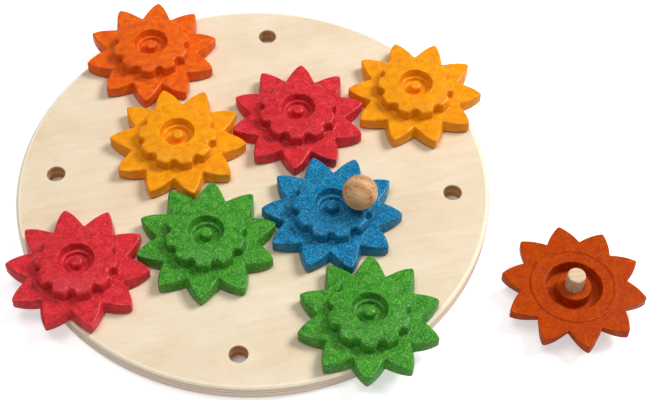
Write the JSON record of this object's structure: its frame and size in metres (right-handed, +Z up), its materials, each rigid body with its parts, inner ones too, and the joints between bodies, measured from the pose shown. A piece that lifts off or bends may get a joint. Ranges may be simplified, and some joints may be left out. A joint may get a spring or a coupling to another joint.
{
  "type": "crank gear toy",
  "caption": "Round wooden board with flower-shaped gears that stand on dowel pegs in mesh; a ball knob on one gear turns them all, and a spare gear lies beside it.",
  "frame": {"origin": "centre of the board's underside, on the surface that the toy lies on", "axes": "+Z up out of the board, +X along a row of peg holes towards the side where the spare gear lies, +Y along a column of peg holes, away from the viewer of the picture"},
  "size_m": [0.4001, 0.36, 0.0546],
  "materials": {
    "plywood": "sanded birch plywood, clear sealed, satin",
    "dowel_wood": "plain fluted dowel, unfinished",
    "knob_wood": "turned solid wood ball, clear sealed, satin",
    "composite_orange": "moulded wood composite, dyed through, satin",
    "composite_yellow": "moulded wood composite, dyed through, satin",
    "composite_red": "moulded wood composite, dyed through, satin",
    "composite_green": "moulded wood composite, dyed through, satin, with light specks",
    "composite_blue": "moulded wood composite, dyed through, satin, with light specks",
    "composite_rust": "moulded wood composite, dyed through, satin"
  },
  "bodies": {
    "board": {"board": "plywood"},
    "orange_peg": {"orange_peg": "dowel_wood"},
    "orange_gear": {"orange_gear": "composite_orange"},
    "yellow_left_peg": {"yellow_left_peg": "dowel_wood"},
    "yellow_left_gear": {"yellow_left_gear": "composite_yellow"},
    "red_centre_peg": {"red_centre_peg": "dowel_wood"},
    "red_centre_gear": {"red_centre_gear": "composite_red"},
    "yellow_right_peg": {"yellow_right_peg": "dowel_wood"},
    "yellow_right_gear": {"yellow_right_gear": "composite_yellow"},
    "red_left_peg": {"red_left_peg": "dowel_wood"},
    "red_left_gear": {"red_left_gear": "composite_red"},
    "green_centre_peg": {"green_centre_peg": "dowel_wood"},
    "green_centre_gear": {"green_centre_gear": "composite_green"},
    "crank_peg": {"crank_peg": "dowel_wood"},
    "crank_gear": {"crank_gear": "composite_blue", "knob_stem": "dowel_wood", "knob_ball": "knob_wood"},
    "green_front_peg": {"green_front_peg": "dowel_wood"},
    "green_front_gear": {"green_front_gear": "composite_green"},
    "spare_peg": {"spare_peg": "dowel_wood"},
    "spare_gear": {"spare_gear": "composite_rust"}
  },
  "joints": [
    {"name": "orange_lift", "type": "slide", "parent": "board", "child": "orange_peg", "axis": [0, 0, 1], "range_m": [0, 0.06]},
    {"name": "orange_spin", "type": "hinge", "parent": "orange_peg", "child": "orange_gear", "pos_m": [-0.043, 0.129, 0.0131], "axis": [0, 0, 1], "continuous": true},
    {"name": "yellow_left_lift", "type": "slide", "parent": "board", "child": "yellow_left_peg", "axis": [0, 0, 1], "range_m": [0, 0.06]},
    {"name": "yellow_left_spin", "type": "hinge", "parent": "yellow_left_peg", "child": "yellow_left_gear", "pos_m": [-0.043, 0.043, 0.0131], "axis": [0, 0, 1], "continuous": true},
    {"name": "red_centre_lift", "type": "slide", "parent": "board", "child": "red_centre_peg", "axis": [0, 0, 1], "range_m": [0, 0.06]},
    {"name": "red_centre_spin", "type": "hinge", "parent": "red_centre_peg", "child": "red_centre_gear", "pos_m": [0.043, 0.043, 0.0131], "axis": [0, 0, 1], "continuous": true},
    {"name": "yellow_right_lift", "type": "slide", "parent": "board", "child": "yellow_right_peg", "axis": [0, 0, 1], "range_m": [0, 0.06]},
    {"name": "yellow_right_spin", "type": "hinge", "parent": "yellow_right_peg", "child": "yellow_right_gear", "pos_m": [0.129, 0.043, 0.0131], "axis": [0, 0, 1], "continuous": true},
    {"name": "red_left_lift", "type": "slide", "parent": "board", "child": "red_left_peg", "axis": [0, 0, 1], "range_m": [0, 0.06]},
    {"name": "red_left_spin", "type": "hinge", "parent": "red_left_peg", "child": "red_left_gear", "pos_m": [-0.129, -0.043, 0.0131], "axis": [0, 0, 1], "continuous": true},
    {"name": "green_centre_lift", "type": "slide", "parent": "board", "child": "green_centre_peg", "axis": [0, 0, 1], "range_m": [0, 0.06]},
    {"name": "green_centre_spin", "type": "hinge", "parent": "green_centre_peg", "child": "green_centre_gear", "pos_m": [-0.043, -0.043, 0.0131], "axis": [0, 0, 1], "continuous": true},
    {"name": "crank_lift", "type": "slide", "parent": "board", "child": "crank_peg", "axis": [0, 0, 1], "range_m": [0, 0.06]},
    {"name": "crank_spin", "type": "hinge", "parent": "crank_peg", "child": "crank_gear", "pos_m": [0.043, -0.043, 0.0131], "axis": [0, 0, 1], "continuous": true},
    {"name": "green_front_lift", "type": "slide", "parent": "board", "child": "green_front_peg", "axis": [0, 0, 1], "range_m": [0, 0.06]},
    {"name": "green_front_spin", "type": "hinge", "parent": "green_front_peg", "child": "green_front_gear", "pos_m": [0.043, -0.129, 0.0131], "axis": [0, 0, 1], "continuous": true},
    {"name": "spare_lift", "type": "slide", "parent": "board", "child": "spare_peg", "axis": [0, 0, 1], "range_m": [0, 0.06]},
    {"name": "spare_spin", "type": "hinge", "parent": "spare_peg", "child": "spare_gear", "pos_m": [0.1795, -0.1394, 0.0131], "axis": [0, 0, 1], "continuous": true}
  ],
  "couplings": [
    {"joint": "orange_spin", "follows": "crank_spin", "ratio": -1},
    {"joint": "red_centre_spin", "follows": "crank_spin", "ratio": -1},
    {"joint": "green_centre_spin", "follows": "crank_spin", "ratio": -1},
    {"joint": "green_front_spin", "follows": "crank_spin", "ratio": -1},
    {"joint": "yellow_left_spin", "follows": "crank_spin", "ratio": 1},
    {"joint": "yellow_right_spin", "follows": "crank_spin", "ratio": 1},
    {"joint": "red_left_spin", "follows": "crank_spin", "ratio": 1}
  ]
}
